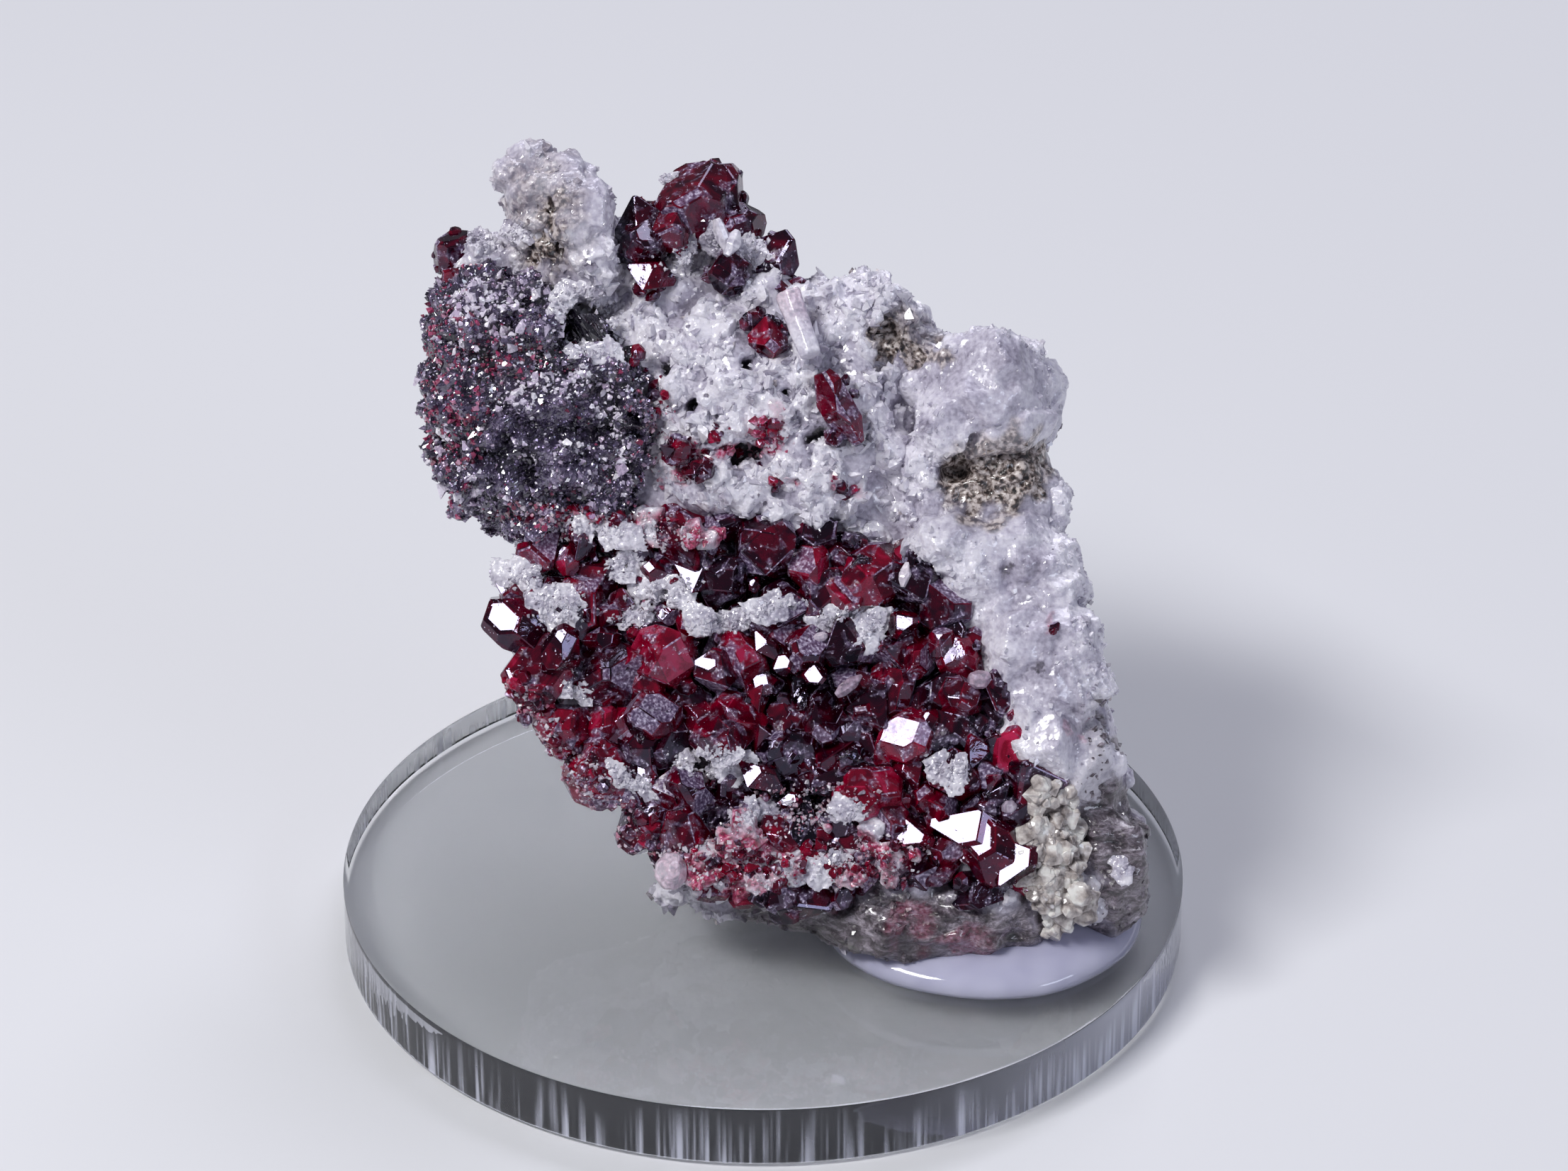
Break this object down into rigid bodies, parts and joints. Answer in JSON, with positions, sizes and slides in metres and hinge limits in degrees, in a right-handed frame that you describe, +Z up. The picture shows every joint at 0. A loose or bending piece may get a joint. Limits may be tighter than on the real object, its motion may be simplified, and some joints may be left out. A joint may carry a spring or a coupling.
{
  "type": "red crystal specimen on a clear disc base",
  "caption": "Leaning piece of white crystalline rock with a bed of deep red crystals and a dark granular crust, glued by its foot to a clear round plastic base.",
  "frame": {"origin": "middle of the clear disc's underside, which stands on the table", "axes": "+Z up; -Y is the side the crystals face, so +X is to the right for someone looking at them"},
  "size_m": [0.04, 0.04, 0.0361],
  "materials": {
    "clear_acrylic": "clear cast acrylic with polished faces and a laser-cut edge of fine upright ridges",
    "white_glue": "white hot glue set as a smooth glossy mound",
    "white_calcite_rock": "sugary white calcite with grey, brown and pitted patches",
    "dark_crust": "dark grey granular crust with a metallic sparkle and dark red grains",
    "red_crystal": "deep ruby red, glassy flat faces, some dusted violet grey",
    "cream_calcite": "cream to pale yellow translucent calcite grains"
  },
  "bodies": {
    "root": {"base_disc": "clear_acrylic", "glue_mound": "white_glue", "matrix_rock": "white_calcite_rock", "dark_crust": "dark_crust", "front_crystals": "red_crystal", "top_crystals": "red_crystal", "cream_calcite": "cream_calcite", "calcite_rod": "white_calcite_rock", "red_crystal_corner": "red_crystal", "red_crystal_lower": "red_crystal", "red_crystal_middle": "red_crystal", "red_crystal_upper": "red_crystal"}
  },
  "joints": []
}
